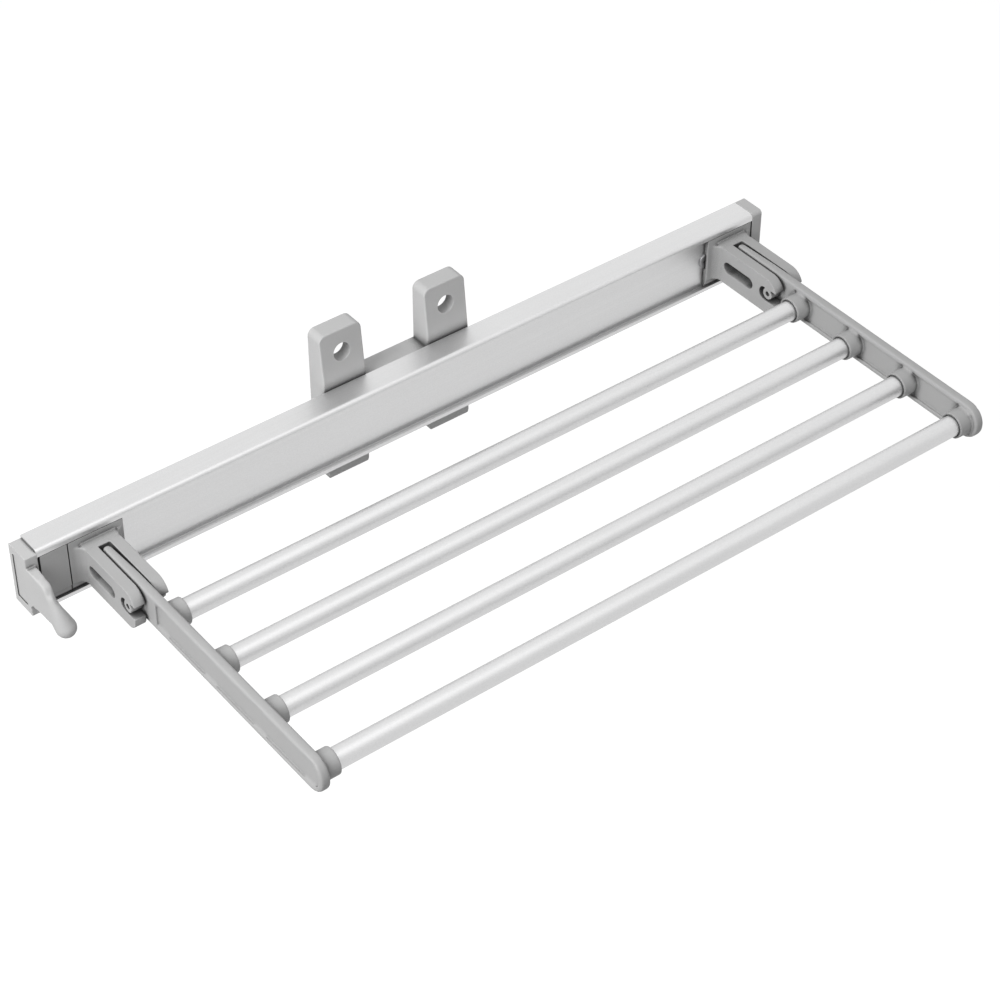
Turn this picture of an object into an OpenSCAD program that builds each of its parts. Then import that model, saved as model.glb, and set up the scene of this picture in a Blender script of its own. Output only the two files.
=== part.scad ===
// Pull-out trouser rack. A bracket screwed to the side of a wardrobe carries two
// glides. The metal rail slides along them, and the forks at its ends hold a frame
// of four rods, which lies level in use and folds up towards the wall.
// The wall is the plane Y = 0 and the rack stands in front of it, towards -Y.
// X runs along the rail, X = 0 is midway between the bracket's two screw holes and
// Z = 0 is their height. A depth below is a distance from the wall.

/* [Rail] */
// Length of the metal rail
rail_len = 485; // [440:5:700]
// Depth of the rail, from its back to its front
rail_depth = 16; // [15:0.5:20]
// Height of the rail
rail_height = 40.5; // [38:0.5:50]
// Thickness of the rail's floor, roof and lips
rail_wall = 1.6; // [1.2:0.1:1.8]
// Thickness of the web between the groove and the channel
web_t = 1.8; // [1.4:0.1:2.4]
// Depth of the groove in the rail's front
groove_depth = 3.6; // [3.4:0.1:4.4]
// Distance of the rail's middle from the bracket's middle
rail_shift = 3.5; // [-40:0.5:40]

/* [Wall bracket] */
// Depth of the bracket where it backs the rail
bracket_depth = 15; // [13:0.5:25]
// Width of each leg
leg_w = 27.8; // [26:0.2:36]
// Distance between the two legs, which is that of the screw holes
leg_spacing = 70; // [60:1:110]
// Diameter of the wall screw holes
hole_d = 11; // [6:0.5:13]
// Height of the screw holes above the rail
hole_rise = 19.9; // [18:0.1:30]

/* [Forks] */
// Length of a fork's plate along the rail
plate_len = 33; // [32:0.5:40]
// Width of each ear
ear_w = 6.9; // [6:0.1:7.5]
// Height of the ears
ear_h = 23.8; // [23:0.2:25]
// Width of the slot between the ears
slot_w = 7; // [6.6:0.1:8]
// Distance of the hinge pin from the rail's front
pin_reach = 44.5; // [44:0.5:60]
// Diameter of the hinge pin
pin_d = 3; // [2:0.1:3.6]

/* [Rod frame] */
// Thickness of the arms
arm_t = 5.7; // [4.6:0.1:6.2]
// Height of the arms
arm_h = 21.6; // [20:0.2:24]
// Diameter of the rods
rod_d = 12; // [9:0.5:13]
// Wall thickness of the rods
rod_wall = 1; // [0.6:0.1:2.5]
// Distance from one rod to the next
rod_pitch = 43.6; // [36:0.2:60]
// Distance of the first rod from the hinge pin
rod_start = 19.6; // [19.6:0.2:30]

/* [End caps and lever] */
// Length of each end cap along the rail
cap_len = 7.4; // [6:0.2:12]
// Length of the lever, from the end cap to its tip
lever_len = 31; // [28:0.5:45]
// Thickness of the lever's plate
lever_t = 5.4; // [4:0.1:6]

/* [Hidden] */
$fn = 64;

// Running and seating clearances
rail_gap = 0.4;
slide_gap = 0.3;
plate_gap = 0.2;
rod_gap = 0.05;
socket_gap = 0.5;
pin_gap = 0.05;
pin_seat = 0.02;
boss_gap = 0.1;
tail_gap = 0.2;
screw_gap = 0.1;
head_gap = 0.4;

// How far a cut runs past the face that it opens
overrun = 1;

// The rail's depths, heights and ends
rail_back = bracket_depth + rail_gap;
rail_front = rail_back + rail_depth;
rail_top = -hole_rise;
rail_bottom = rail_top - rail_height;
rail_middle = (rail_top + rail_bottom) / 2;
rail_left = rail_shift - rail_len / 2;
rail_right = rail_shift + rail_len / 2;
rail_round = 2.6;
floor_z = rail_bottom + rail_wall;
roof_z = rail_top - rail_wall;

// The groove in front and the lips that close it in part
groove_back = rail_front - groove_depth;
low_lip = 2.4;
high_lip = 4.5;
lip_back = rail_front - rail_wall;

// The channel behind and the lips on both sides of its opening
channel_front = groove_back - web_t;
channel_back = rail_back + rail_wall;
rear_lip = 7;

// The plates that fill the groove at both ends
plate_back = groove_back + plate_gap;
tongue_front = lip_back - plate_gap;
plate_rise = 4;
plate_low = rail_bottom + plate_rise;
plate_high = rail_top - high_lip - plate_gap;
band_h = 3.4;
band_sink = 0.8;
seam_w = 0.5;
end_gap = 1.5;
filler_len = 16;
end_gap_right = 1;

// The forks: plate ends and middle of the ears, at the left and at the right
ear_shift = 1;
plate_left = [rail_left + end_gap + filler_len + seam_w,
              rail_right - end_gap_right - plate_len];
fork_x = [for (x = plate_left) x + plate_len / 2 + ear_shift];
fork_w = ear_w * 2 + slot_w;
ear_rise = 7;
ear_low = rail_bottom + ear_rise;
ear_top = ear_low + ear_h;
pin_rise = 21;
pin_z = rail_bottom + pin_rise;
pin_depth = rail_front + pin_reach;
nose_r = ear_top - pin_z;
nose_back = 2.3;
jaw_reach = 6;
jaw_round = 6.8;
ear_fillet = 5;
ramp_h = 1;
ramp_len = 4.5;
root_depth = 6;
mould_line_w = 0.6;
mould_line_sink = 0.2;

// The mouth in each ear and the pin's eye that hangs in it
mouth_low = 5.3;
mouth_high = 3.2;
mouth_back = 6.9;
eye_r = 3.6;
neck_w = 5;

// The long window through both ears
window_len = 25;
window_h = 7.2;
window_back = 25.3;
window_drop = 1.7;

// The hinge pins
pin_recess = 1.9;

// The arms: each I section leaves a rim round a thin web
arm_rim = 3.2;
arm_recess = 1.5;
recess_start = 14.5;
tail_len = pin_reach - root_depth - tail_gap;
tail_round = 2.4;
boss_r = 5;
collar_wall = 1.7;
collar_len = 8.4;

// The rods
rod_count = 4;
rod_r = rod_d / 2;
collar_r = rod_r + collar_wall;
rod_depths = [for (i = [0 : rod_count - 1]) pin_depth + rod_start + rod_pitch * i];
arm_tip = rod_depths[rod_count - 1];
arm_inner = [fork_x[0] + arm_t / 2, fork_x[1] - arm_t / 2];
socket_x = [arm_inner[0] - arm_recess, arm_inner[1] + arm_recess];

// The screws that lock the forks' plates and clamp the stops behind the web
lock_head_r = 5;
lock_head_t = 1.4;
lock_r = 2;
lock_inset = 1.5;
lock_x = [for (x = plate_left) x + lock_inset];
lock_tip = 1.5;

// The stops in the rear channel
stop_len = 13;
stop_h = 20;

// The end caps, their plugs in the channel and the lever on the left one
cap_proud = 0.8;
cap_drop = 1.5;
cap_round = 1;
plug_len = 10;
plug_gap = 0.15;
cap_sink = 0.4;
cap_sink_edge = 3.5;
cap_sink_low = 5;
lever_low = 9;
lever_top = 32.5;
lever_fillet = 4;
lever_bend = 19.5;
lever_brow = 6;
lever_edge_r = 2.7;
tip_r = 5.9;
tip_rise = 7.9;

// The wall bracket
leg_x = [-leg_spacing / 2, leg_spacing / 2];
leg_over = 14.1;
leg_foot = rail_bottom - 23.5;
lean = 4;
leg_round_top = 4.5;
leg_round_foot = 4;
bar_drop = 3.5;
bar_foot = 3;
bracket_wall = 2.6;
front_wall = 4.5;
hole_wall = 7;
pocket_low = 12;

// The glides and their screws
glide_inset = 0.9;
screw_r = 2;
screw_head_r = 3.6;
screw_head_t = 2.2;
screw_spread = 14;
screw_len = 16;
counterbore_sink = 0.6;
screw_post_r = 4.2;
screw_post_end = 1;

// A rectangle between two places along each axis of an outline
module area(u, v) {
  translate([u[0], v[0]]) square([u[1] - u[0], v[1] - v[0]]);
}

// A rectangle with four round corners
module round_area(u, v, r) {
  area([u[0] + r, u[1] - r], v);
  area(u, [v[0] + r, v[1] - r]);
  for (a = [u[0] + r, u[1] - r], b = [v[0] + r, v[1] - r])
    translate([a, b]) circle(r);
}

// A box between two places along X, two depths and two heights
module block(x, d, z) {
  translate([x[0], -d[1], z[0]]) cube([x[1] - x[0], d[1] - d[0], z[1] - z[0]]);
}

// Carries an outline of depth and height along X
module along_x(x) {
  translate([x[1], 0, 0]) rotate([90, 0, -90]) linear_extrude(x[1] - x[0]) children();
}

// Carries an outline of X and height away from the wall
module along_depth(d) {
  translate([0, -d[0], 0]) rotate([90, 0, 0]) linear_extrude(d[1] - d[0]) children();
}

// A round bar along X
module bar_x(x, d, z, r) {
  translate([x[0], -d, z]) rotate([0, 90, 0]) cylinder(h = x[1] - x[0], r = r);
}

// A round bar that leads away from the wall
module bar_depth(x, d, z, r) {
  translate([x, -d[0], z]) rotate([90, 0, 0]) cylinder(h = d[1] - d[0], r = r);
}

// Outline of the rail: a groove in front, a channel behind and the web between
module rail_outline() {
  difference() {
    union() {
      area([rail_back, rail_front - rail_round], [rail_bottom, rail_top]);
      area([rail_back, rail_front], [rail_bottom, rail_top - rail_round]);
      translate([rail_front - rail_round, rail_top - rail_round]) circle(rail_round);
    }
    area([groove_back, lip_back], [floor_z, roof_z]);
    area([groove_back, rail_front + overrun],
         [rail_bottom + low_lip, rail_top - high_lip]);
    area([channel_back, channel_front], [floor_z, roof_z]);
    area([rail_back - overrun, channel_front],
         [rail_bottom + rear_lip, rail_top - rear_lip]);
  }
}

// The rail, with a hole in its web for each locking screw
module rail() {
  color("gainsboro") difference() {
    along_x([rail_left, rail_right]) rail_outline();
    for (x = lock_x)
      bar_depth(x, [channel_front - overrun, groove_back + overrun],
                rail_middle, lock_r + screw_gap);
  }
}

// Outline of the plates in the groove: a tongue behind the lips and a face
// between them, with a sunk band along its foot
module plate_outline() {
  area([plate_back, tongue_front], [floor_z + slide_gap, roof_z - slide_gap]);
  area([plate_back, rail_front - band_sink], [plate_low, plate_high]);
  area([plate_back, rail_front], [plate_low + band_h, plate_high]);
}

// Room behind a plate for the head of a locking screw
module lock_pocket(x) {
  bar_depth(x, [plate_back - overrun, groove_back + lock_head_t + head_gap],
            rail_middle, lock_head_r + head_gap);
}

// The short plate that fills the groove beside the left end cap
module filler_plate() {
  x = rail_left + end_gap;
  color("darkgray") difference() {
    along_x([x, x + filler_len]) plate_outline();
    lock_pocket(lock_x[0]);
  }
}

// Side outline of one ear: straight back to a round nose, with a round jaw below
module ear_outline() {
  jaw_front = pin_depth + jaw_reach;
  area([rail_front - overrun, pin_depth - nose_back], [pin_z, ear_top]);
  area([rail_front - overrun, jaw_front - jaw_round], [ear_low, pin_z]);
  area([rail_front - overrun, jaw_front], [ear_low + jaw_round, pin_z]);
  translate([jaw_front - jaw_round, ear_low + jaw_round]) circle(jaw_round);
  translate([pin_depth - nose_back, pin_z]) circle(nose_r);
}

// Outline of the mouth that parts an ear's upper finger from its lower jaw
module mouth_outline() {
  r = (mouth_low + mouth_high) / 2;
  z = pin_z + (mouth_high - mouth_low) / 2;
  d = pin_depth - mouth_back + r;
  translate([d, z]) circle(r);
  area([d, pin_depth + nose_r + overrun], [z - r, z + r]);
}

// Outline of the eye that hangs from the finger and holds the pin
module eye_outline() {
  translate([pin_depth, pin_z]) circle(eye_r);
  area([pin_depth - neck_w / 2, pin_depth + neck_w / 2], [pin_z, pin_z + mouth_high]);
}

// Outline of the long window through the ears
module window_outline() {
  r = window_h / 2;
  reach = window_len / 2 - r;
  z = pin_z - window_drop;
  d = pin_depth - window_back;
  area([d - reach, d + reach], [z - r, z + r]);
  for (a = [d - reach, d + reach])
    translate([a, z]) circle(r);
}

// The hollow fillet where an ear's side meets the plate, on the side that s gives
module root_fillet(x, s) {
  difference() {
    block(s > 0 ? [x, x + ear_fillet] : [x - ear_fillet, x],
          [tongue_front, rail_front + ear_fillet], [ear_low, ear_top]);
    translate([x + ear_fillet * s, -rail_front - ear_fillet, ear_low - overrun])
      cylinder(h = ear_h + overrun * 2, r = ear_fillet);
  }
}

// A fork: a plate in the groove and two ears, one on each side of the arm
module carriage(side) {
  x = fork_x[side];
  ears = [x - fork_w / 2, x + fork_w / 2];
  slot = [x - slot_w / 2, x + slot_w / 2];
  plate = [plate_left[side], plate_left[side] + plate_len];
  color("darkgray") difference() {
    union() {
      along_x(plate) plate_outline();
      along_x(ears) difference() {
        ear_outline();
        difference() {
          mouth_outline();
          eye_outline();
        }
        window_outline();
      }
      along_x(ears) polygon([[rail_front - overrun, ear_top],
                             [rail_front - overrun, ear_top + ramp_h],
                             [rail_front, ear_top + ramp_h],
                             [rail_front + ramp_len, ear_top]]);
      root_fillet(ears[0], -1);
      root_fillet(ears[1], 1);
    }
    block(slot, [rail_front + root_depth, pin_depth + nose_r + overrun],
          [ear_low - overrun, ear_top + ramp_h + overrun]);
    bar_x([ears[0] - overrun, ears[1] + overrun], pin_depth, pin_z,
          pin_d / 2 + pin_seat);
    block([x - ear_shift - mould_line_w / 2, x - ear_shift + mould_line_w / 2],
          [rail_front - mould_line_sink, rail_front + overrun],
          [ear_top + ramp_h, plate_high + overrun]);
    lock_pocket(lock_x[side]);
  }
}

// A hinge pin, sunk a little in the eyes of its fork
module hinge_pin(side) {
  half = fork_w / 2 - pin_recess;
  color("silver") bar_x([fork_x[side] - half, fork_x[side] + half],
                        pin_depth, pin_z, pin_d / 2);
}

// The screws whose heads sit on the web, in pockets of the plates
module carriage_screws() {
  color("gray") for (x = lock_x) {
    bar_depth(x, [groove_back, groove_back + lock_head_t], rail_middle, lock_head_r);
    bar_depth(x, [channel_back + lock_tip, groove_back + lock_head_t / 2],
              rail_middle, lock_r);
  }
}

// A stop block, clamped behind the web, that ends the rail's travel
module stop(side) {
  x = lock_x[side];
  color("dimgray") difference() {
    block([x - stop_len / 2, x + stop_len / 2],
          [channel_back + slide_gap, channel_front],
          [rail_middle - stop_h / 2, rail_middle + stop_h / 2]);
    bar_depth(x, [rail_back - overrun, channel_front + overrun],
              rail_middle, lock_r + screw_gap);
  }
}

// The plug by which an end cap sits in the rail's channel
module cap_plug(x) {
  block(x, [channel_back + plug_gap, channel_front - plug_gap],
        [floor_z + plug_gap, roof_z - plug_gap]);
}

// The lever that pulls the rack out: a plate that ends in a rounded, bent tongue
module lever() {
  x0 = rail_left - cap_len;
  root = rail_front + cap_proud;
  low = rail_bottom + lever_low;
  top = rail_bottom + lever_top;
  bend = root + lever_bend;
  along_x([x0, x0 + lever_t]) {
    area([root - overrun, bend - lever_brow], [low, top]);
    area([root - overrun, bend], [low, top - lever_brow]);
    translate([bend - lever_brow, top - lever_brow]) circle(lever_brow);
    difference() {
      area([root - overrun, root + lever_fillet], [low - lever_fillet, low]);
      translate([root + lever_fillet, low - lever_fillet]) circle(lever_fillet);
    }
  }
  hull() {
    for (z = [low + lever_edge_r * 1.5, top - lever_brow])
      translate([x0 + lever_edge_r, -bend, z]) sphere(r = lever_edge_r, $fn = 32);
    translate([x0 + tip_r, tip_r - root - lever_len, rail_bottom + tip_rise])
      sphere(r = tip_r, $fn = 32);
  }
}

// The left end cap, one piece with the lever, with a shallow panel on its end
module end_cap_left() {
  x = [rail_left - cap_len, rail_left];
  d = [rail_back, rail_front + cap_proud];
  z = [rail_bottom, rail_top - cap_drop];
  color("darkgray") difference() {
    union() {
      along_x(x) {
        area([d[0] + cap_round, d[1]], z);
        area(d, [z[0], z[1] - cap_round]);
        translate([d[0] + cap_round, z[1] - cap_round]) circle(cap_round);
      }
      cap_plug([rail_left - overrun, rail_left + plug_len]);
      lever();
    }
    block([x[0] - overrun, x[0] + cap_sink], [d[0] + cap_sink_edge, d[1] - cap_sink_edge],
          [z[0] + cap_sink_low, z[1] - cap_sink_low]);
  }
}

// The right end cap, flush with the rail all round
module end_cap_right() {
  color("darkgray") {
    along_x([rail_right, rail_right + cap_len]) {
      area([rail_back, rail_front - rail_round], [rail_bottom, rail_top]);
      area([rail_back, rail_front], [rail_bottom, rail_top - rail_round]);
      translate([rail_front - rail_round, rail_top - rail_round]) circle(rail_round);
    }
    cap_plug([rail_right - plug_len, rail_right + overrun]);
  }
}

// Side outline of an arm from the pin to its round tip
module arm_outline() {
  r = arm_h / 2;
  area([pin_depth, arm_tip], [pin_z - r, pin_z + r]);
  translate([arm_tip, pin_z]) circle(r);
}

// The tail behind the pin. Above the pin its end keeps to a circle round the pin,
// and below it the square heel meets the slot's back when the frame lies level
module arm_tail(x) {
  half = arm_t / 2;
  intersection() {
    block([x - half, x + half], [pin_depth - tail_len, pin_depth],
          [pin_z - overrun, pin_z + arm_h / 2]);
    translate([x, -pin_depth, pin_z]) rotate([0, 90, 0]) rotate_extrude()
      difference() {
        area([0, tail_len], [-half, half]);
        tail_corners(half);
      }
  }
  translate([x, -pin_depth, pin_z - arm_h / 2]) rotate([0, 0, 90])
    linear_extrude(arm_h / 2) difference() {
      area([0, tail_len], [-half, half]);
      tail_corners(half);
    }
}

// The corners taken off the tail's end, on both sides of the arm
module tail_corners(half) {
  u = tail_len - tail_round;
  difference() {
    area([u, tail_len + overrun], [-half - overrun, half + overrun]);
    area([u, tail_len], [tail_round - half, half - tail_round]);
    for (side = [-1, 1])
      translate([u, (half - tail_round) * side]) circle(tail_round);
  }
}

// Outline of the recess in an arm's face, which leaves a rim all round
module arm_recess_outline() {
  r = arm_h / 2 - arm_rim;
  start = pin_depth + recess_start;
  area([start, arm_tip], [pin_z - r, pin_z + r]);
  translate([arm_tip, pin_z]) circle(r);
}

// An arm, with a collar for each rod on its inner face and bosses at the pin
module arm(side) {
  x = fork_x[side];
  half = arm_t / 2;
  boss = slot_w / 2 - boss_gap;
  web = half - arm_recess;
  inward = side == 0 ? 1 : -1;
  collar = [min(x, arm_inner[side] + collar_len * inward),
            max(x, arm_inner[side] + collar_len * inward)];
  socket = side == 0 ? [socket_x[0], collar[1] + overrun]
                     : [collar[0] - overrun, socket_x[1]];
  color("darkgray") difference() {
    union() {
      difference() {
        union() {
          along_x([x - half, x + half]) arm_outline();
          arm_tail(x);
        }
        along_x([x - half - overrun, x - web]) arm_recess_outline();
        along_x([x + web, x + half + overrun]) arm_recess_outline();
      }
      bar_x([x - boss, x + boss], pin_depth, pin_z, boss_r);
      for (d = rod_depths)
        bar_x(collar, d, pin_z, collar_r);
    }
    for (d = rod_depths)
      bar_x(socket, d, pin_z, rod_r + rod_gap);
    bar_x([x - slot_w, x + slot_w], pin_depth, pin_z, pin_d / 2 + pin_gap);
  }
}

// A rod: a round tube from one arm's socket to the other's
module rod(place) {
  x = [socket_x[0] + socket_gap, socket_x[1] - socket_gap];
  d = rod_depths[place];
  color("whitesmoke") difference() {
    bar_x(x, d, pin_z, rod_r);
    bar_x([x[0] - overrun, x[1] + overrun], d, pin_z, rod_r - rod_wall);
  }
}

// Places of the two glide screws beside the middle of one leg
function screw_places(x) = [x - screw_spread / 2, x + screw_spread / 2];

// Side outline of the bracket: upright behind the rail, leaning back above and below
module bracket_outline() {
  polygon([[0, leg_foot],
           [bracket_depth - lean, leg_foot],
           [bracket_depth, rail_bottom + bar_foot],
           [bracket_depth, rail_top - bar_drop],
           [bracket_depth - lean, leg_over],
           [0, leg_over]]);
}

// Front outline of one leg, with round corners at its top and foot
module leg_outline(x) {
  u = [x - leg_w / 2, x + leg_w / 2];
  middle = rail_middle;
  round_area(u, [leg_foot, middle + leg_round_top], leg_round_foot);
  round_area(u, [middle - leg_round_foot, leg_over], leg_round_top);
  area(u, [middle - leg_round_foot, middle + leg_round_top]);
}

// Hollows of one leg, open to the wall: one behind the screw hole and one below
// it, with a post for each glide screw
module leg_hollows(x) {
  u = [x - leg_w / 2 + bracket_wall, x + leg_w / 2 - bracket_wall];
  hole_front = bracket_depth
    - lean * (bar_drop - rail_top) / (leg_over + bar_drop - rail_top);
  block(u, [-overrun, hole_front - hole_wall], [-pocket_low, leg_over - bracket_wall]);
  difference() {
    block(u, [-overrun, bracket_depth - front_wall - lean],
          [leg_foot + bracket_wall, -pocket_low - bracket_wall]);
    for (s = screw_places(x))
      bar_depth(s, [-overrun * 2, bracket_depth], rail_middle, screw_post_r);
  }
}

// The wall bracket: two legs joined by a bar behind the rail
module wall_bracket() {
  between = [leg_x[0] + leg_w / 2, leg_x[1] - leg_w / 2];
  color("darkgray") difference() {
    union() {
      intersection() {
        along_x([leg_x[0] - leg_w / 2, leg_x[1] + leg_w / 2]) bracket_outline();
        along_depth([0, bracket_depth]) {
          leg_outline(leg_x[0]);
          leg_outline(leg_x[1]);
        }
      }
      block([between[0] - overrun, between[1] + overrun], [0, bracket_depth],
            [rail_bottom + bar_foot, rail_top - bar_drop]);
    }
    for (x = leg_x) {
      leg_hollows(x);
      bar_depth(x, [-overrun, bracket_depth + overrun], 0, hole_d / 2);
      for (s = screw_places(x))
        bar_depth(s, [screw_post_end, bracket_depth + overrun], rail_middle,
                  screw_r + screw_gap);
    }
    block([between[0] + bracket_wall, between[1] - bracket_wall],
          [-overrun, bracket_depth - front_wall],
          [rail_bottom + bar_foot + bracket_wall, rail_top - bar_drop - bracket_wall]);
  }
}

// A glide: a block in the rail's channel on a neck through the channel's opening
module glide(side) {
  x = leg_x[side];
  u = [x - leg_w / 2 + glide_inset, x + leg_w / 2 - glide_inset];
  face = channel_front - slide_gap;
  color("dimgray") difference() {
    union() {
      block(u, [channel_back + slide_gap, face], [floor_z + slide_gap, roof_z - slide_gap]);
      block(u, [bracket_depth, face],
            [rail_bottom + rear_lip + slide_gap, rail_top - rear_lip - slide_gap]);
    }
    for (s = screw_places(x)) {
      bar_depth(s, [0, face + overrun], rail_middle, screw_r + screw_gap);
      bar_depth(s, [face - screw_head_t - counterbore_sink, face + overrun],
                rail_middle, screw_head_r + screw_gap);
    }
  }
}

// The four screws that hold the glides to the bracket's legs
module glide_screws() {
  seat = channel_front - slide_gap - screw_head_t - counterbore_sink;
  color("silver") for (x = leg_x, s = screw_places(x)) {
    bar_depth(s, [seat, seat + screw_head_t], rail_middle, screw_head_r);
    bar_depth(s, [seat - screw_len, seat + screw_head_t / 2], rail_middle, screw_r);
  }
}

wall_bracket();
glide(0);  // glide_left
glide(1);  // glide_right
glide_screws();
rail();
end_cap_left();
end_cap_right();
filler_plate();
carriage(0);  // carriage_left
carriage(1);  // carriage_right
carriage_screws();
stop(0);  // stop_left
stop(1);  // stop_right
hinge_pin(0);  // hinge_pin_left
hinge_pin(1);  // hinge_pin_right
arm(0);  // arm_left
arm(1);  // arm_right
rod(0);  // rod_1
rod(1);  // rod_2
rod(2);  // rod_3
rod(3);  // rod_4
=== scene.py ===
import math
import bpy
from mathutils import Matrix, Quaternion, Vector


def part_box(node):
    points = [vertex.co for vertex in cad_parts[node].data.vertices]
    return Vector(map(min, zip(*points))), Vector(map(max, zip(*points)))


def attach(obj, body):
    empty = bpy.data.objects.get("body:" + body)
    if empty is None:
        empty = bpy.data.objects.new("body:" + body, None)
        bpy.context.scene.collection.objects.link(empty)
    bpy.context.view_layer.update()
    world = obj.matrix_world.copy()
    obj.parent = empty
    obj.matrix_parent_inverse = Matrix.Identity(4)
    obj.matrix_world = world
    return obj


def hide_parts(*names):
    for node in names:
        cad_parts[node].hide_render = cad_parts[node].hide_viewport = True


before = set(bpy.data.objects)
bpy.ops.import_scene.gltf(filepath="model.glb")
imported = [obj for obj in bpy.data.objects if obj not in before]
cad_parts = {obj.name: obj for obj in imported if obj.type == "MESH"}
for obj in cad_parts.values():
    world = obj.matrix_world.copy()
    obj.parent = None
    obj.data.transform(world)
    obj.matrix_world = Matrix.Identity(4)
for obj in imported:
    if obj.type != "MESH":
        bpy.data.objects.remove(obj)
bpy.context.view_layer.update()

mm = 0.001
scene = bpy.context.scene
bpy.ops.object.select_all(action="DESELECT")

# The camera stands in front of the rack, to its left and well above it, and looks
# down through a long lens, so that the rods stay almost parallel.
view_azimuth = math.radians(-36.66)
view_elevation = math.radians(40.85)
view_roll = math.radians(-0.54)
view_distance = 1455 * mm
view_target = Vector((-22, -100.7, -45.3)) * mm
film_width = 36
lens_length = 98.1
lens_shift = (0.04, -0.01)
back = Vector((math.sin(view_azimuth) * math.cos(view_elevation),
               -math.cos(view_azimuth) * math.cos(view_elevation),
               math.sin(view_elevation)))
bpy.ops.object.camera_add(location=view_target + back * view_distance)
camera = bpy.context.object
camera.rotation_mode = "QUATERNION"
camera.rotation_quaternion = (-back).to_track_quat("-Z", "Y") @ Quaternion((0, 0, 1), view_roll)
camera.data.sensor_width = film_width
camera.data.lens = lens_length
camera.data.shift_x, camera.data.shift_y = lens_shift
scene.camera = camera

# The wall bracket: two legs and a bar, moulded in one piece of grey plastic. It leans
# back above and below the rail, and it is hollow on the side of the wall. One leg is
# finished and copied, and the bar is joined on between the two.
low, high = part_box("wall_bracket")
rail_low, rail_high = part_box("rail")
leg_width = 27.8 * mm
leg_corner = 4.4 * mm
lean = 4 * mm
bar_drop = 3.5 * mm
bar_lift = 3 * mm
bar_top = rail_high.z - bar_drop
bar_foot = rail_low.z + bar_lift
bracket_edge = 0.9 * mm
bracket_wall = 2.6 * mm
hole_radius = 5.5 * mm
hole_front = low.y + lean * -bar_top / (high.z - bar_top)
hole_wall = 7 * mm
burr = 0.5 * mm
recess_foot = 12 * mm
hollow_depth = 6.5 * mm
hollow_edge = 0.5 * mm
bar_hollow_depth = 10.5 * mm
post_radius = 4.2 * mm
screw_spread = 14 * mm
weld = 0.4 * mm
weld_inset = weld / 4
overrun = 1 * mm
round_sides = 48
same_place = 0.01 * mm
flat_angle = math.radians(0.3)
edge_angle = math.radians(32)
crease_angle = math.radians(40)


def only(piece):
    """Makes one piece the active and the only selected one."""
    bpy.ops.object.select_all(action="DESELECT")
    bpy.context.view_layer.objects.active = piece
    piece.select_set(True)


def block(name, x, y, z):
    """A box between two places along each axis."""
    corners = [sorted(pair) for pair in (x, y, z)]
    middle = [(a + b) / 2 for a, b in corners]
    bpy.ops.mesh.primitive_cube_add(size=1, location=middle)
    piece = bpy.context.object
    piece.name = piece.data.name = name
    piece.scale = [b - a for a, b in corners]
    bpy.ops.object.transform_apply(location=True, rotation=True, scale=True)
    return piece


def bar(name, start, end, radius, sides=round_sides):
    """A round bar from one point to another."""
    start, end = Vector(start), Vector(end)
    bpy.ops.mesh.primitive_cylinder_add(
        vertices=sides, radius=radius, depth=(end - start).length,
        location=(start + end) / 2, rotation=(end - start).to_track_quat("Z", "Y").to_euler())
    piece = bpy.context.object
    piece.name = piece.data.name = name
    bpy.ops.object.transform_apply(location=True, rotation=True, scale=True)
    return piece


def round_edges(piece, radius, chosen, steps=10):
    """Rounds the edges of a piece whose two ends pass a test."""
    only(piece)
    bpy.ops.object.mode_set(mode="EDIT")
    bpy.ops.mesh.select_mode(type="EDGE")
    bpy.ops.mesh.select_all(action="DESELECT")
    bpy.ops.object.mode_set(mode="OBJECT")
    points = piece.data.vertices
    for edge in piece.data.edges:
        edge.select = chosen(*(points[i].co for i in edge.vertices))
    bpy.ops.object.mode_set(mode="EDIT")
    bpy.ops.mesh.bevel(offset=radius, segments=steps)
    bpy.ops.object.mode_set(mode="OBJECT")


def slice_off(piece, point, direction):
    """Cuts off what lies beyond a plane, on the side that the direction points to."""
    only(piece)
    bpy.ops.object.mode_set(mode="EDIT")
    bpy.ops.mesh.select_all(action="SELECT")
    bpy.ops.mesh.bisect(plane_co=point, plane_no=direction, use_fill=True, clear_outer=True)
    bpy.ops.object.mode_set(mode="OBJECT")


def combine(piece, other, operation):
    """Joins another shape to a piece, or cuts it out of the piece, and clears it away."""
    only(piece)
    step = piece.modifiers.new("combine", "BOOLEAN")
    step.object = other
    step.operation = operation
    step.solver = "EXACT"
    bpy.ops.object.modifier_apply(modifier=step.name)
    bpy.data.objects.remove(other)


def weld_on(piece, *others):
    """Joins other shapes to a piece, one after another."""
    for other in others:
        combine(piece, other, "UNION")


def cut_out(piece, *others):
    """Cuts other shapes out of a piece, one after another."""
    for other in others:
        combine(piece, other, "DIFFERENCE")


def tidy_mesh(piece):
    """Merges points that coincide and takes out needless edges of flat faces."""
    only(piece)
    bpy.ops.object.mode_set(mode="EDIT")
    bpy.ops.mesh.select_all(action="SELECT")
    bpy.ops.mesh.remove_doubles(threshold=same_place)
    bpy.ops.mesh.dissolve_degenerate(threshold=same_place)
    bpy.ops.mesh.dissolve_limited(angle_limit=flat_angle)
    bpy.ops.object.mode_set(mode="OBJECT")


def soften(piece, radius, steps=3):
    """Rounds all the sharp edges of a piece a little."""
    only(piece)
    bevel = piece.modifiers.new("edges", "BEVEL")
    bevel.width = radius
    bevel.segments = steps
    bevel.limit_method = "ANGLE"
    bevel.angle_limit = edge_angle
    bevel.use_clamp_overlap = False
    bevel.miter_outer = "MITER_ARC"
    bpy.ops.object.modifier_apply(modifier=bevel.name)


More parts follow.
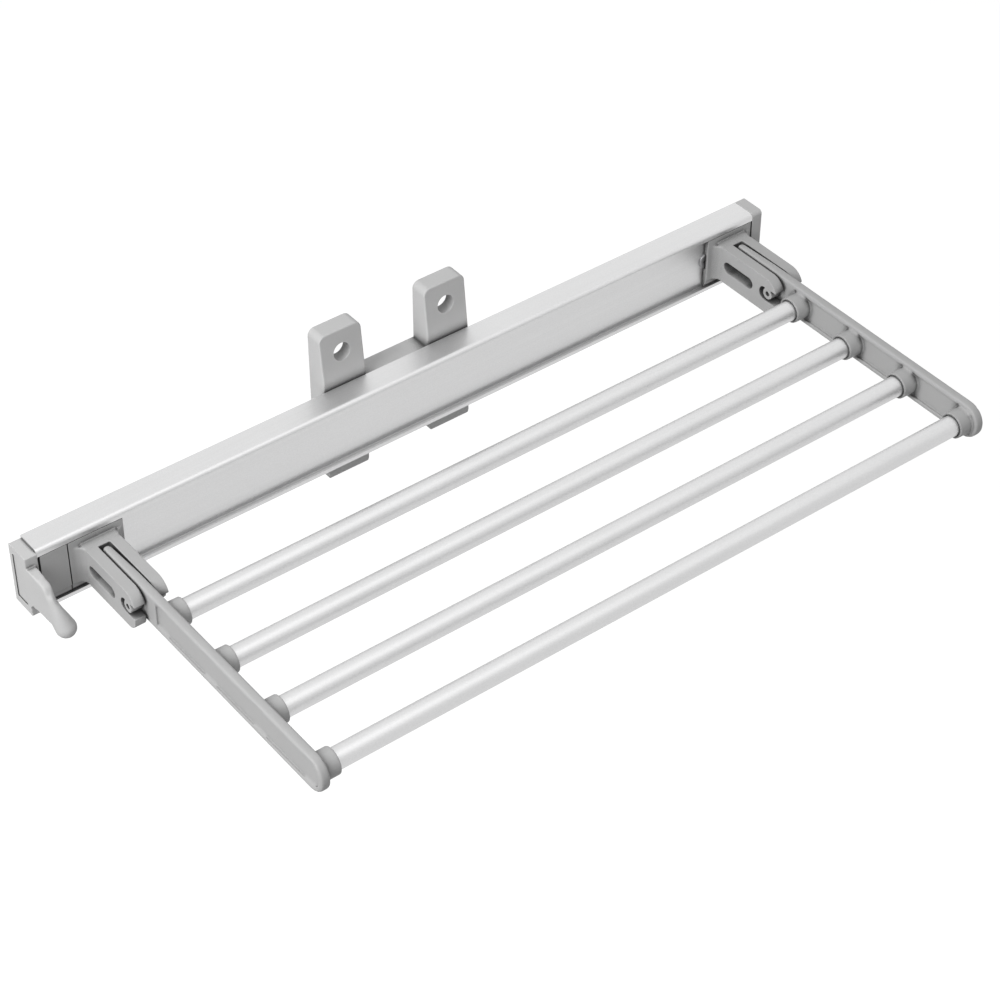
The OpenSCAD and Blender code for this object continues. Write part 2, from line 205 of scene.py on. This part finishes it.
def put_on(piece, material, body, node):
    """Gives a finished piece its shading, its material and its body, and hides the CAD node it
    stands for.
    """
    only(piece)
    bpy.ops.object.shade_smooth_by_angle(angle=crease_angle)
    flatten = piece.modifiers.new("flat_faces", "WEIGHTED_NORMAL")
    flatten.keep_sharp = True
    bpy.ops.object.modifier_apply(modifier=flatten.name)
    piece.data.materials.clear()
    piece.data.materials.append(material)
    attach(piece, body)
    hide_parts(node)


class Value:
    """An output of a shader node. Sums and products of such values add Math nodes."""

    def __init__(self, socket):
        self.socket = socket

    def math(self, operation, first, second):
        return Nodes(self.socket.id_data).add(
            "Math", settings={"operation": operation}, numbered={0: first, 1: second})

    def __add__(self, other):
        return self.math("ADD", self, other)

    def __sub__(self, other):
        return self.math("SUBTRACT", self, other)

    def __rsub__(self, other):
        return self.math("SUBTRACT", other, self)

    def __mul__(self, other):
        return self.math("MULTIPLY", self, other)

    __radd__ = __add__
    __rmul__ = __mul__


def plug_in(place, item):
    """Links a value to a socket, or sets the socket to a plain number, colour or vector."""
    if isinstance(item, Value):
        place.id_data.links.new(item.socket, place)
    else:
        place.default_value = item


class Nodes:
    """A tree of shader nodes, which grows by one node after another."""

    def __init__(self, tree):
        self.tree = tree

    def add(self, kind, output=0, settings=(), numbered=(), **named):
        """Adds a node: first its settings, then its sockets by number and by name."""
        node = self.tree.nodes.new("ShaderNode" + kind)
        for key, value in dict(settings).items():
            setattr(node, key, value)
        for number, item in dict(numbered).items():
            plug_in(node.inputs[number], item)
        for key, item in named.items():
            plug_in(node.inputs[key.replace("_", " ")], item)
        return Value(node.outputs[output])

    def blend(self, share, first, second):
        """A colour between two, by a share from 0 to 1. A Mix node takes its colours at
        the sockets 6 and 7 and gives one at its output 2."""
        first, second = [c if isinstance(c, Value) else (*c, 1) for c in (first, second)]
        return self.add("Mix", output=2, settings={"data_type": "RGBA"},
                        numbered={0: share, 6: first, 7: second})


class Finish(Nodes):
    """A material with one shader, whose sockets are set or linked by name."""

    def __init__(self, name):
        self.material = bpy.data.materials.new(name)
        self.material.use_nodes = True
        super().__init__(self.material.node_tree)

    def surface(self, **sockets):
        shader = self.tree.nodes["Principled BSDF"]
        for key, item in sockets.items():
            plug_in(shader.inputs[key.replace("_", " ")], item)
        return self.material


def shade(colour, share):
    """A darker or a lighter tone of a colour."""
    return [c * share for c in colour]


def moulded_plastic(name, colour, roughness, reach):
    """Plastic from a mould with an eroded grain. The skin is a little cloudy where the
    melt met itself, and lighter and smoother along edges that hands and cloth rub. Painted
    shade darkens the corners and the holes that walls within reach shut in."""
    cloud_tone, grain_tone, edge_tone, tone_drop = 0.6, 0.7, 0.6, 0.25
    hollow_shade_weight, crease_shade_weight, shade_threshold = 3.2, 1.3, 3.0
    grain_height, pit_height = 0.6, 0.4
    cloud_matt, grain_matt, edge_gloss = 0.08, 0.06, 0.12
    painted_shade_tone, dark_tone, light_tone = 0.18, 0.92, 1.1
    finish = Finish(name)
    place = finish.add("TexCoord", output="Object")
    clouds = finish.add("TexNoise", Vector=place, Scale=45.0, Detail=3.0)
    grain = finish.add("TexNoise", Vector=place, Scale=2400.0, Detail=2.0)
    pits = finish.add("TexNoise", Vector=place, Scale=900.0, Detail=1.0)
    inner = finish.add("AmbientOcclusion", output="AO", Distance=0.9 * mm,
                       settings={"inside": True, "only_local": True, "samples": 4})
    edge = 1 - inner
    tone = clouds * cloud_tone + grain * grain_tone + edge * edge_tone - tone_drop
    skin = finish.blend(tone, shade(colour, dark_tone), shade(colour, light_tone))
    # Painted shade: occlusion within the reach and within 2 mm darkens the colour towards a dark
    # tone in corners, slots and holes.
    hollow = finish.add("AmbientOcclusion", output="AO", Distance=reach,
                        settings={"samples": 6})
    crease_shade = finish.add("AmbientOcclusion", output="AO", Distance=2.0 * mm,
                        settings={"samples": 4})
    # The share of the plain skin; where it drops, the colour is painted shade.
    unshaded_share = hollow * hollow_shade_weight + crease_shade * crease_shade_weight - shade_threshold
    height = grain * grain_height + pits * pit_height
    bump = finish.add("Bump", Strength=0.25, Distance=0.05 * mm, Height=height)
    return finish.surface(
        Base_Color=finish.blend(unshaded_share, shade(colour, painted_shade_tone), skin), Normal=bump,
        Roughness=clouds * cloud_matt + grain * grain_matt - edge * edge_gloss + roughness,
        IOR=1.46)


bracket = block("bracket_moulding", (low.x, low.x + leg_width), (low.y, high.y), (low.z, high.z))
round_edges(bracket, leg_corner, lambda a, b: abs(a.y - b.y) > overrun)
for bend, foot in ((bar_top, high.z), (bar_foot, low.z)):
    rise = foot - bend
    slice_off(bracket, (0, low.y, bend), (0, -abs(rise), math.copysign(lean, rise)))
leg_middle = low.x + leg_width / 2
inner_sides = (leg_middle - leg_width / 2 + bracket_wall, leg_middle + leg_width / 2 - bracket_wall)
soften(bracket, bracket_edge, steps=4)
cut_out(bracket, bar("hole", (leg_middle, low.y - overrun, 0), (leg_middle, high.y + overrun, 0),
                     hole_radius))
# This cone is as wide as the hole where it meets the leg's front. It clears the mouth of
# burrs and leaves the rim sharp.
lean_normal = Vector((0, bar_top - high.z, lean)).normalized()
bpy.ops.mesh.primitive_cone_add(
    vertices=round_sides, radius1=hole_radius - burr, radius2=hole_radius + burr * 2,
    depth=burr * 3, location=Vector((leg_middle, hole_front, 0)) + lean_normal * burr / 2,
    rotation=lean_normal.to_track_quat("Z", "X").to_euler())
cut_out(bracket, bpy.context.object)
for depth, heights in ((-hole_front - hole_wall, (-recess_foot, high.z - bracket_wall)),
                       (hollow_depth, (low.z + bracket_wall, -recess_foot - bracket_wall))):
    hollow = block("hollow", inner_sides, (-depth, overrun), heights)
    soften(hollow, hollow_edge)
    cut_out(bracket, hollow)
glide_height = (rail_low.z + rail_high.z) / 2
for spot in (leg_middle - screw_spread / 2, leg_middle + screw_spread / 2):
    post = bar("post", (spot, -hollow_depth - weld, glide_height), (spot, 0, glide_height),
               post_radius)
    weld_on(bracket, post)
only(bracket)
bpy.ops.object.duplicate(linked=False)
right_leg = bpy.context.object
bpy.ops.transform.translate(value=(high.x - low.x - leg_width, 0, 0))
bpy.ops.object.transform_apply(location=True)
bar_reach = high.x - leg_width
crossbar = block("crossbar", (-bar_reach - weld, bar_reach + weld),
                 (low.y + weld_inset, high.y - weld_inset),
                 (bar_foot + weld_inset, bar_top - weld_inset))
soften(crossbar, hollow_edge)
hollow = block("hollow", (-bar_reach + weld, bar_reach - weld), (-bar_hollow_depth, overrun),
               (bar_foot + bracket_wall, bar_top - bracket_wall))
soften(hollow, hollow_edge)
cut_out(crossbar, hollow)
weld_on(bracket, right_leg, crossbar)
tidy_mesh(bracket)
plastic_colour = (0.57, 0.57, 0.57)
plastic_roughness = 0.5
# How far walls reach when shade is painted into the bracket's colour; far enough to darken its
# holes.
bracket_shade_reach = 9 * mm
bracket_plastic = moulded_plastic("bracket_plastic", plastic_colour, plastic_roughness, bracket_shade_reach)
put_on(bracket, bracket_plastic, "bracket", "wall_bracket")

# The glides: one long slider of dark, slippery plastic in front of each leg, which fills
# the rail's rear channel. Each is held by two countersunk screws through the leg.
glide_colour = (0.26, 0.26, 0.265)
glide_roughness = 0.38
# How far walls reach when shade is painted into the plastics' colour in their corners and holes.
common_shade_reach = 5 * mm
glide_plastic = moulded_plastic("glide_plastic", glide_colour, glide_roughness, common_shade_reach)
for name in ("glide_left", "glide_right"):
    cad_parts[name].data.materials[0] = glide_plastic


def zinc_plate(name, colour, roughness):
    """Zinc-plated steel: a clouded, slightly bluish coat with fine marks from the tumbler."""
    dark_tone, light_tone = 0.85, 1.1
    cloud_matt, mark_matt = 0.14, 0.06
    finish = Finish(name)
    place = finish.add("TexCoord", output="Object")
    clouds = finish.add("TexNoise", Vector=place, Scale=320.0, Detail=4.0)
    marks = finish.add("TexNoise", Vector=place, Scale=2600.0, Detail=2.0)
    bump = finish.add("Bump", Strength=0.2, Distance=0.03 * mm, Height=marks)
    return finish.surface(
        Base_Color=finish.blend(clouds, shade(colour, dark_tone), shade(colour, light_tone)),
        Roughness=clouds * cloud_matt + marks * mark_matt + roughness, Normal=bump, Metallic=1.0)


steel_colour = (0.28, 0.28, 0.285)
steel_roughness = 0.32
screw_steel = zinc_plate("screw_steel", steel_colour, steel_roughness)
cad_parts["glide_screws"].data.materials[0] = screw_steel

# The rail: an extruded aluminium profile, blasted and anodised. Its front groove takes
# the forks' plates and its rear channel runs on the glides.
metal_colour = (0.64, 0.64, 0.642)
rail_roughness = 0.33
rail_streak = 0.6
rail_edge = 0.2 * mm
same_point = 0.001 * mm
flat_turn = math.radians(0.5)


def anodised(name, colour, roughness, streak):
    """Aluminium blasted to a fine satin speckle and anodised, with faint draw lines along
    X and a slightly cloudy oxide."""
    line_tone, speckle_tone, cloud_tone, tone_drop = 0.3, 0.9, 0.25, 0.22
    speckle_matt, cloud_matt = 0.12, 0.08
    hollow_shade_weight, painted_shade_tone, dark_tone, light_tone = 1.5, 0.4, 0.88, 1.12
    finish = Finish(name)
    place = finish.add("TexCoord", output="Object")
    along = finish.add("Mapping", Vector=place, Scale=(3, 1500, 1500))
    lines = finish.add("TexNoise", Vector=along, Scale=1.0, Detail=2.0)
    speckle = finish.add("TexNoise", Vector=place, Scale=1700.0, Detail=2.0)
    clouds = finish.add("TexNoise", Vector=place, Scale=18.0, Detail=3.0)
    tone = lines * line_tone + speckle * speckle_tone + clouds * cloud_tone - tone_drop
    bump = finish.add("Bump", Strength=0.22, Distance=0.04 * mm, Height=lines * streak + speckle)
    skin = finish.blend(tone, shade(colour, dark_tone), shade(colour, light_tone))
    # Painted shade: occlusion within 6 mm darkens the colour towards a dark tone in grooves and
    # hollows.
    hollow = finish.add("AmbientOcclusion", output="AO", Distance=6.0 * mm,
                        settings={"only_local": True, "samples": 6})
    return finish.surface(
        Base_Color=finish.blend(hollow * hollow_shade_weight, shade(colour, painted_shade_tone), skin),
        Roughness=speckle * speckle_matt + clouds * cloud_matt + roughness, Normal=bump,
        Metallic=1.0)


def copy_of(node, name):
    """A merged copy of a CAD node's mesh, to be finished as the real piece is."""
    piece = bpy.data.objects.new(name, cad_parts[node].data.copy())
    scene.collection.objects.link(piece)
    piece.data.name = name
    only(piece)
    bpy.ops.mesh.customdata_custom_splitnormals_clear()
    bpy.ops.object.mode_set(mode="EDIT")
    bpy.ops.mesh.select_all(action="SELECT")
    bpy.ops.mesh.remove_doubles(threshold=same_point)
    bpy.ops.mesh.dissolve_limited(angle_limit=flat_turn)
    bpy.ops.object.mode_set(mode="OBJECT")
    return piece


rail_metal = anodised("rail_metal", metal_colour, rail_roughness, rail_streak)
rail = copy_of("rail", "rail_extrusion")
soften(rail, rail_edge, steps=2)
put_on(rail, rail_metal, "slide_rail", "rail")

# The end caps: grey plastic pushed into the rail's ends. The left one carries the lever
# that pulls the rack out, a plate that flows into a rounded, bent tongue.
low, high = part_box("end_cap_left")
cap_voxel = 0.32 * mm
cap_edge = 0.4 * mm
smoothing = 0.5
lever_front = -42 * mm
lever_rounds = 45
neck_front = -38 * mm
neck_rounds = 15
waist_depth = -53.5 * mm
waist_spread = 3.2 * mm
waist_in = 0.7 * mm
waist_down = 1.4 * mm
waist_height = low.z + 12 * mm
lever_skin = 3 * mm
panel_sink = 0.55 * mm
panel_edge = 3.2 * mm
panel_foot = 5 * mm


def mould(piece, voxel, rounds):
    """Turns a piece into one even skin with its edges worn round, as from a soft mould."""
    only(piece)
    skin = piece.modifiers.new("skin", "REMESH")
    skin.mode = "VOXEL"
    skin.voxel_size = voxel
    bpy.ops.object.modifier_apply(modifier=skin.name)
    smooth = piece.modifiers.new("smooth", "SMOOTH")
    smooth.factor = smoothing
    smooth.iterations = rounds
    bpy.ops.object.modifier_apply(modifier=smooth.name)


def smooth_where(piece, chosen, rounds):
    """Smooths the part of a skin whose points pass a test."""
    only(piece)
    bpy.ops.object.mode_set(mode="EDIT")
    bpy.ops.mesh.select_mode(type="VERT")
    bpy.ops.mesh.select_all(action="DESELECT")
    bpy.ops.object.mode_set(mode="OBJECT")
    for point in piece.data.vertices:
        point.select = chosen(point.co)
    bpy.ops.object.mode_set(mode="EDIT")
    bpy.ops.mesh.vertices_smooth(factor=smoothing, repeat=rounds)
    bpy.ops.object.mode_set(mode="OBJECT")


grey_plastic = moulded_plastic("grey_plastic", plastic_colour, plastic_roughness, common_shade_reach)
left_cap = copy_of("end_cap_left", "end_cap_left_moulding")
mould(left_cap, cap_voxel, rounds=3)
smooth_where(left_cap, lambda p: p.y < lever_front, lever_rounds)
for point in left_cap.data.vertices:
    near = math.exp(-((point.co.y - waist_depth) / waist_spread) ** 2)
    if point.co.x > low.x + lever_skin:
        point.co.x -= waist_in * near
    if point.co.z > waist_height:
        point.co.z -= waist_down * near
smooth_where(left_cap, lambda p: p.y < neck_front, neck_rounds)
cut_out(left_cap, block("panel", (low.x - overrun, low.x + panel_sink),
                        (rail_low.y + panel_edge, rail_high.y - panel_edge),
                        (low.z + panel_foot, high.z - panel_foot)))
put_on(left_cap, grey_plastic, "slide_rail", "end_cap_left")
right_cap = copy_of("end_cap_right", "end_cap_right_moulding")
soften(right_cap, cap_edge)
put_on(right_cap, grey_plastic, "slide_rail", "end_cap_right")

# The filler plate: a short moulded strip that closes the groove between the left fork
# and the left end cap, held behind the rail's lips. Its plastic is that of the arms, a
# darker grey given to it partly as painted shade, as it lies in the shadow of the left cap and fork.
filler_edge = 0.2 * mm
arm_colour = (0.45, 0.45, 0.45)
arm_roughness = 0.46
arm_plastic = moulded_plastic("arm_plastic", arm_colour, arm_roughness, common_shade_reach)
filler = copy_of("filler_plate", "filler_moulding")
soften(filler, filler_edge, steps=2)
put_on(filler, arm_plastic, "slide_rail", "filler_plate")

# The forks: a plate in the rail's groove with two ears, moulded in one piece. Each ear
# has a long window and a hooked mouth, whose eye springs open to let the pin in.
fork_voxel = 0.33 * mm
# How far walls reach when shade is painted into the forks' colour, darkening their slots, windows
# and roots.
fork_shade_reach = 8 * mm
root_reach = 6 * mm
root_gap = overrun / 4
root_rounds = 12
fork_plastic = moulded_plastic("fork_plastic", arm_colour, arm_roughness, fork_shade_reach)
for side in ("left", "right"):
    fork = copy_of("carriage_" + side, "fork_" + side)
    mould(fork, fork_voxel, rounds=3)
    smooth_where(fork, lambda p: rail_low.y - root_reach < p.y < rail_low.y - root_gap, root_rounds)
    put_on(fork, fork_plastic, "slide_rail", "carriage_" + side)

# The locking screws: zinc-plated pan heads with a cross recess, set on the rail's web.
# Each draws a dark stop block against the web from behind, which ends the rail's travel.
head_radius = 5 * mm
head_height = 1.4 * mm
head_edge = 0.9 * mm
shank_radius = 2 * mm
shank_sides = 24
shank_chamfer = 0.5 * mm
shank_tip = overrun / 2
recess_length = 5 * mm
recess_width = 1 * mm
recess_depth = 0.9 * mm
screw_low, screw_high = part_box("carriage_screws")
seat = screw_low.y + head_height
height = (screw_low.z + screw_high.z) / 2
lock_screws = None
for x in (screw_low.x + head_radius, screw_high.x - head_radius):
    screw = bar("screw", (x, seat, height), (x, screw_low.y, height), head_radius)
    round_edges(screw, head_edge, lambda a, b: max(a.y, b.y) < seat - overrun, steps=5)
    for across, up in ((recess_length, recess_width), (recess_width, recess_length)):
        cut_out(screw, block("recess", (x - across / 2, x + across / 2),
                             (screw_low.y - overrun, screw_low.y + recess_depth),
                             (height - up / 2, height + up / 2)))
    shank = bar("shank", (x, seat - head_height / 2, height), (x, screw_high.y, height),
                shank_radius, shank_sides)
    round_edges(shank, shank_chamfer, lambda a, b: min(a.y, b.y) > screw_high.y - shank_tip, steps=1)
    weld_on(screw, shank)
    if lock_screws:
        weld_on(lock_screws, screw)
    else:
        lock_screws = screw
lock_screws.name = lock_screws.data.name = "locking_screws"
put_on(lock_screws, screw_steel, "slide_rail", "carriage_screws")
for name in ("stop_left", "stop_right"):
    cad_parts[name].data.materials[0] = glide_plastic

# The hinge pins: short pieces of drawn steel wire with chamfered ends, sunk in the eyes
# of the forks. The frame folds up round them.
pin_chamfer = 0.35 * mm
for side in ("left", "right"):
    low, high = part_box("hinge_pin_" + side)
    depth, height = (low.y + high.y) / 2, (low.z + high.z) / 2
    pin = bar("pin_" + side, (low.x, depth, height), (high.x, depth, height),
              (high.z - low.z) / 2)
    round_edges(pin, pin_chamfer, lambda a, b: abs(a.x - b.x) < overrun, steps=2)
    put_on(pin, screw_steel, "slide_rail", "hinge_pin_" + side)

# The arms: flat plastic bars with a sunk panel on each face. A collar for each rod stands
# on the inner face, and a boss on each side spaces the arm in its fork.
rods = ("rod_1", "rod_2", "rod_3", "rod_4")
arm_voxel = 0.45 * mm
arm_half = 2.85 * mm
cusp_low = 6 * mm
cusp_high = 9.4 * mm
cusp_reach = 5.5 * mm
cusp_rounds = 25
rim_start = 9.2 * mm
rim_rounds = 30
boss_reach = 8 * mm
tail_length = 30 * mm
tail_taper = 1.3 * mm
tail_play = 1.2 * mm
mouth_depth = 1.2 * mm
mouth_gap = 0.5 * mm
mouth_sides = 64


def fill_cusps(arm, side):
    """Rounds out the sharp valleys where the collars touch the arm's rim."""
    low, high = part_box("hinge_pin_" + side)
    pin = (low + high) / 2
    for rod in rods:
        low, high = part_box(rod)
        depth = (low.y + high.y) / 2
        smooth_where(arm, lambda p: abs(p.y - depth) < cusp_reach and
                     cusp_low < abs(p.z - pin.z) < cusp_high and
                     abs(p.x - pin.x) < cusp_reach, cusp_rounds)


def round_rims(arm):
    """Wears the arm's outline round, on the bar's edges and round its tip."""
    low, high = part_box("rod_4")
    tip = (low + high) / 2
    smooth_where(arm, lambda p: math.hypot(min(0, p.y - tip.y), p.z - tip.z) > rim_start,
                 rim_rounds)


for side, inward in (("left", 1), ("right", -1)):
    arm = copy_of("arm_" + side, "arm_" + side + "_moulding")
    mould(arm, arm_voxel, rounds=5)
    round_rims(arm)
    fill_cusps(arm, side)
    low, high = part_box("hinge_pin_" + side)
    middle = (low + high) / 2
    for point in arm.data.vertices:
        behind = (point.co.y - middle.y - boss_reach) / tail_length
        if behind > 0:
            across = (point.co.x - middle.x + arm_half) / (2 * arm_half)
            point.co.x -= tail_taper * min(1, behind) * max(0, across)
        end = (point.co.y - middle.y - tail_length) / boss_reach
        if end > 0:
            point.co.y -= tail_play * min(1, end)
    low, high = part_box("arm_" + side)
    mouth = high.x if side == "left" else low.x
    for rod in rods:
        rod_low, rod_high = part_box(rod)
        axis = (rod_low + rod_high) / 2
        cut_out(arm, bar("mouth", (mouth - inward * mouth_depth, axis.y, axis.z),
                         (mouth + inward * overrun, axis.y, axis.z),
                         (rod_high.z - rod_low.z) / 2 + mouth_gap, mouth_sides))
    put_on(arm, arm_plastic, "rod_frame", "arm_" + side)

# The rods: drawn aluminium tube in the same satin finish as the rail, pressed into the
# arms' collars. The trousers hang over them.
rod_roughness = 0.36
rod_streak = 0.3
rod_metal = anodised("rod_metal", metal_colour, rod_roughness, rod_streak)
for name in rods:
    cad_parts[name].data.materials[0] = rod_metal

# The studio: a pale floor well below the rack, a soft box high at the left, a wide one
# overhead, a faint one behind, and an even sky.
floor_size = 14
floor_drop = 500 * mm
floor_shade = (0.34, 0.34, 0.34)
floor_roughness = 0.9
floor_lift = 0.83
sky = 0.33
white = (1, 1, 1, 1)
bpy.ops.mesh.primitive_plane_add(size=floor_size, location=(0, 0, -floor_drop))
floor = bpy.context.object
floor.name = "floor"


def seen_directly(nodes):
    """1 for what the camera, a mirror or a glass sees, and 0 for what only lights."""
    seen = nodes.add("LightPath", output="Is Camera Ray")
    for name in ("Is Glossy Ray", "Is Transmission Ray"):
        seen = seen.math("MAXIMUM", seen, nodes.add("LightPath", output=name))
    return seen


paint = Finish("floor_paint")
floor.data.materials.append(paint.surface(
    Base_Color=(*floor_shade, 1), Roughness=floor_roughness, Specular_IOR_Level=0.0,
    Emission_Color=white, Emission_Strength=seen_directly(paint) * floor_lift))
world = bpy.data.worlds.new("studio")
scene.world = world
world.use_nodes = True
background = world.node_tree.nodes["Background"]
plug_in(background.inputs["Color"], white)
plug_in(background.inputs["Strength"], seen_directly(Nodes(world.node_tree)) * (1 - sky) + sky)
aim = Vector((0, -0.12, -0.04))
for name, direction, distance, level, size in (
        ("key_box", (-0.80, -0.10, 0.58), 1.5, 0.76, 0.9),
        ("rear_box", (0.47, 0.60, 0.64), 1.6, 0.06, 1.7),
        ("overhead_box", (0.0, -0.35, 0.94), 1.5, 0.22, 1.4)):
    bpy.ops.object.light_add(type="AREA",
                             location=aim + Vector(direction).normalized() * distance)
    lamp = bpy.context.object
    lamp.name = name
    lamp.rotation_mode = "QUATERNION"
    lamp.rotation_quaternion = (aim - lamp.location).to_track_quat("-Z", "Y")
    lamp.data.energy = level * math.pi ** 2 * distance ** 2
    lamp.data.size = size
scene.view_settings.view_transform = "Standard"
